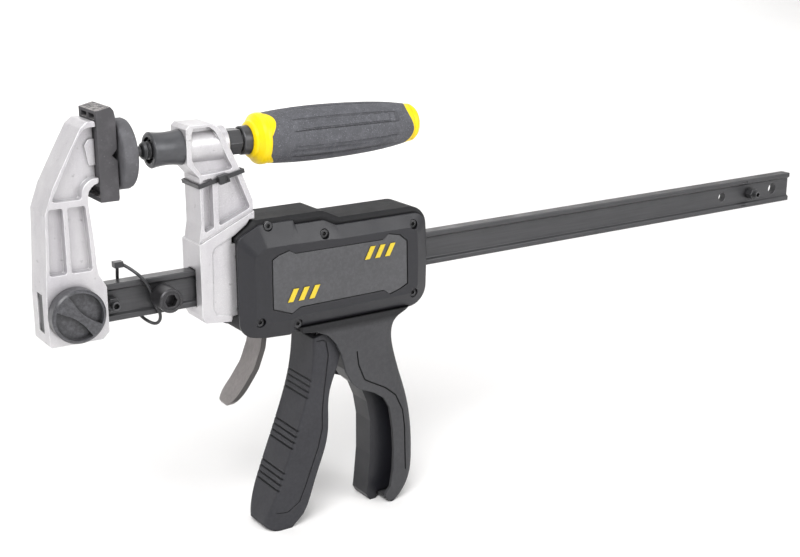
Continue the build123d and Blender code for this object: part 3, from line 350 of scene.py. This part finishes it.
def grip_material():
    """Rubber sleeve with raised panels and a fine speckle.

    Its two ends meet the yellow core in three soft waves round the screw's axis."""
    panel_ends, panel_fade = (0.013, 0.012), 0.003      # from the sleeve's front and rear end
    field_ends, field_fade = (0.019, 0.018), 0.0015
    front_wave, front_border = 0.0030, 0.0012
    rear_wave, rear_border = 0.0016, 0.0024
    border_fade = 0.0001
    lobe_turn = 2.2

    g = Graph("grip_sleeve_rubber")
    normal, _ = g.rounded(0.0008)
    along, across, rise = g.split(g.coordinates)
    turn = g.calc("ARCTAN2", across, rise)
    lobes = g.calc("COSINE", g.calc("MULTIPLY_ADD", turn, 3.0, lobe_turn))
    facets = g.calc("COSINE", g.calc("MULTIPLY", turn, 6.0))

    def panel(ends, fade, low, high):
        """1 on the six facets, and 0 between them and within ends of the sleeve's two ends."""
        start, end = GRIP_START + ends[0], GRIP_END - ends[1]
        lengthwise = g.calc("MINIMUM", g.span(along, start, start + fade),
                            g.span(along, end, end - fade))
        return g.calc("MULTIPLY", g.span(facets, low, high), lengthwise)

    front_edge = g.calc("MULTIPLY_ADD", lobes, front_wave, GRIP_START + front_border)
    rear_edge = g.calc("MULTIPLY_ADD", lobes, -rear_wave, GRIP_END - rear_border)
    front_part = g.span(g.calc("SUBTRACT", along, front_edge), border_fade, -border_fade)
    rear_part = g.span(g.calc("SUBTRACT", along, rear_edge), -border_fade, border_fade)
    yellow_part = g.calc("MAXIMUM", front_part, rear_part)

    bloom = g.span(g.noise(200.0, 5.0, 0.7), 0.45, 0.68)
    specks = g.span(g.noise(1500.0, 1.0), 0.62, 0.72)
    sleeve = g.overlay(GRIP_BLACK, bloom, 0.35, tint(GRIP_BLACK, 2.1))
    sleeve = g.overlay(sleeve, specks, 0.55, tint(GRIP_BLACK, 3.4))
    colour = g.mix(yellow_part, sleeve, YELLOW)
    rough = g.span(yellow_part, 0.0, 1.0, 0.66, 0.38)

    pebble = g.node("ShaderNodeTexVoronoi")
    g.put(pebble.inputs["Vector"], g.coordinates)
    g.put(pebble.inputs["Scale"], 900.0)
    black_part = g.calc("SUBTRACT", 1.0, yellow_part)
    texture = g.calc("MULTIPLY", pebble.outputs["Distance"], black_part)
    relief = g.bump(yellow_part, 0.6, 0.0005, normal)
    relief = g.bump(panel(panel_ends, panel_fade, 0.05, 0.35), 1.0, 0.0016, relief)
    relief = g.bump(panel(field_ends, field_fade, 0.45, 0.6), 1.0, 0.0008, relief)
    relief = g.bump(texture, 0.8, 0.00030, relief)
    return g.finish(base_color=colour, roughness=rough, normal=relief, specular_ior_level=0.35)


def floor_material():
    g = Graph("studio_floor")
    paper = g.span(g.noise(3.0, 3.0), 0.3, 0.7)
    return g.finish(base_color=g.mix(paper, PAPER_DARK, PAPER_PALE), roughness=0.75)


looks = {
    "cast_aluminium": cast_metal(),
    "black_steel": worked_steel("blackened_bar_steel", grey(0.058, 0.061), rough=0.36,
                                metallic=0.60, stretch=(30.0, 900.0, 900.0),
                                edge_wear_and_light_colour=grey(0.24, 0.25), radius=0.0006, edge_wear_and_light=0.8),
    "charcoal_plastic": moulded("charcoal_moulding", grey(0.0105, 0.0135), rough=0.36,
                                gloss=0.42, mottle=0.15),
    "side_plate_plastic": moulded("side_plate_moulding", grey(0.050, 0.054), rough=0.45,
                                  grain=2200.0, depth=0.00005),
    "yellow_plastic": moulded("yellow_moulding", YELLOW, rough=0.36, grain=1800.0,
                              depth=0.00004, edge_light=1.15, gloss=0.35, mottle=0.0),
    "accent_yellow": moulded("yellow_accent_print", ACCENT_YELLOW, rough=0.45, grain=2200.0,
                             depth=0.00004, edge_light=1.1, radius=0.0003, mottle=0.0),
    "grip_rubber": grip_material(),
    # painted shade on the lever's side faces, at 0.26 of the colour
    "lever_steel": worked_steel("tumbled_lever_steel", (0.205, 0.190, 0.186, 1.0), rough=0.42,
                                metallic=0.40, stretch=(700.0, 700.0, 60.0),
                                edge_wear_and_light_colour=(0.16, 0.15, 0.148, 1.0), radius=0.0009, edge_wear_and_light=0.4,
                                side_face_shade=0.26),
    "plain_steel": worked_steel("oiled_steel", grey(0.42, 0.43), rough=0.35, metallic=0.9,
                                stretch=(600.0, 600.0, 120.0), edge_wear_and_light_colour=grey(0.7)),
    "zinc_steel": worked_steel("dark_zinc_steel", (0.045, 0.044, 0.047, 1.0), rough=0.38,
                               metallic=0.7, stretch=(500.0, 500.0, 500.0), edge_wear_and_light_colour=grey(0.30)),
    "cable_tie_nylon": moulded("cable_tie_nylon", grey(0.018, 0.020), rough=0.32, grain=1200.0,
                               depth=0.00004, edge_light=2.5, radius=0.0003),
}
# painted light: below the housing the shell's colour is made 2.5 times as bright
body_shell = moulded("body_shell_moulding", grey(0.021, 0.0222), rough=0.60, gloss=0.12,
                     mottle=0.12, painted_handle_light=2.5)
own_looks = {
    "front_body_shell": body_shell,
    "back_body_shell": body_shell,
    "guide_sleeve": worked_steel("phosphated_sleeve_steel", (0.064, 0.065, 0.070, 1.0),
                                 rough=0.34, metallic=0.4, stretch=(260.0, 260.0, 260.0),
                                 edge_wear_and_light_colour=grey(0.30, 0.31), edge_wear_and_light=0.6),
    "cover_screws": worked_steel("worn_screw_steel", grey(0.050, 0.053), rough=0.34,
                                 metallic=0.7, stretch=(700.0, 700.0, 700.0),
                                 edge_wear_and_light_colour=grey(0.34), radius=0.0004, edge_wear_and_light=0.7),
    "jaw_pad": rubber("jaw_pad_rubber", (0.058, 0.056, 0.060, 1.0), top_dust=0.9),
    "pad_face": rubber("swivel_pad_rubber", (0.090, 0.089, 0.096, 1.0), mottle=1.8,
                       amount=0.45),
    "lock_knob": moulded("lock_knob_moulding", grey(0.038, 0.042), rough=0.36, grain=520.0,
                         depth=0.0002, edge_light=4.5, radius=0.0006, gloss=0.45,
                         mottle=0.85),
    # painted shade in the trigger's grooves, darkened to 0.45
    "trigger_grip": moulded("trigger_moulding", grey(0.026, 0.030), rough=0.55, grain=1500.0,
                            depth=0.00012, edge_light=1.8, radius=0.0009, gloss=0.30,
                            mottle=0.20, groove_shade=0.45),
}

for name, obj in nodes.items():
    obj.data.materials.clear()
    obj.data.materials.append(own_looks.get(name) or looks[slot_of[name]])


def add_spring(node):
    """A rigid copy of the coil, carried by the head, in place of the CAD node."""
    coil = bpy.data.objects.new(node + "_coil", nodes[node].data.copy())
    scene.collection.objects.link(coil)
    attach(coil, "head")
    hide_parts(node)
    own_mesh(coil)


add_spring("drive_spring")
add_spring("brake_spring")

# ---------------------------------------------------------------- floor and light
FLOOR_SIDES = (-5.0, 6.0)
FLOOR_PROFILE = ((-2.0, 0.0), (1.4, 0.0), (1.9, 0.06), (2.3, 0.25), (2.6, 0.7), (2.7, 1.6),
                 (2.7, 4.0))    # (y, height above the floor), curving up behind the clamp
CENTRE = (0.12, 0.0, -0.08)
BACKDROP = (1.2, 2.6, 0.9)
WORLD_LIGHT = 0.40          # the world's strength as it lights matt surfaces
WORLD_SEEN = 0.85           # its strength where it is seen or mirrored


def add_floor():
    mesh = bpy.data.meshes.new("studio_floor")
    shape = bmesh.new()
    rows = [[shape.verts.new((x, y, FLOOR_HEIGHT + height)) for x in FLOOR_SIDES]
            for y, height in FLOOR_PROFILE]
    for near, far in zip(rows, rows[1:]):
        shape.faces.new((near[0], near[1], far[1], far[0]))
    shape.to_mesh(mesh)
    shape.free()
    for face in mesh.polygons:
        face.use_smooth = True
    floor = bpy.data.objects.new("studio_floor", mesh)
    floor.data.materials.append(floor_material())
    scene.collection.objects.link(floor)


def add_light(name, place, target, size, power):
    data = bpy.data.lights.new(name, "AREA")
    data.shape = "RECTANGLE"
    data.size, data.size_y = size
    data.energy = power
    light = bpy.data.objects.new(name, data)
    light.location = place
    aim = Vector(target) - Vector(place)
    light.rotation_euler = aim.to_track_quat("-Z", "Y").to_euler()
    scene.collection.objects.link(light)


def add_world():
    """A white room, dimmer in the light that it gives than where it is seen or mirrored."""
    world = bpy.data.worlds.new("studio")
    world.use_nodes = True
    tree = world.node_tree
    rays = tree.nodes.new("ShaderNodeLightPath")
    seen = rays.outputs["Is Camera Ray"]
    for kind in ("Is Glossy Ray", "Is Transmission Ray"):
        either = tree.nodes.new("ShaderNodeMath")
        either.operation = "MAXIMUM"
        tree.links.new(seen, either.inputs[0])
        tree.links.new(rays.outputs[kind], either.inputs[1])
        seen = either.outputs[0]
    strength = tree.nodes.new("ShaderNodeMapRange")
    strength.inputs["To Min"].default_value = WORLD_LIGHT
    strength.inputs["To Max"].default_value = WORLD_SEEN
    tree.links.new(seen, strength.inputs["Value"])
    background = tree.nodes["Background"]
    background.inputs["Color"].default_value = WHITE
    tree.links.new(strength.outputs["Result"], background.inputs["Strength"])
    scene.world = world


add_floor()
add_light("key", place=(-0.9, -1.0, 1.3), target=CENTRE, size=(1.1, 1.1), power=36.0)
add_light("fill", place=(1.1, -1.4, 0.6), target=CENTRE, size=(1.2, 1.0), power=14.0)
add_light("top", place=(0.2, 0.3, 1.7), target=CENTRE, size=(1.8, 1.4), power=8.0)
add_light("backdrop", place=(0.9, 0.9, 1.5), target=BACKDROP, size=(3.0, 1.0), power=48.0)
add_world()
scene.view_settings.view_transform = "Standard"
scene.view_settings.look = "None"
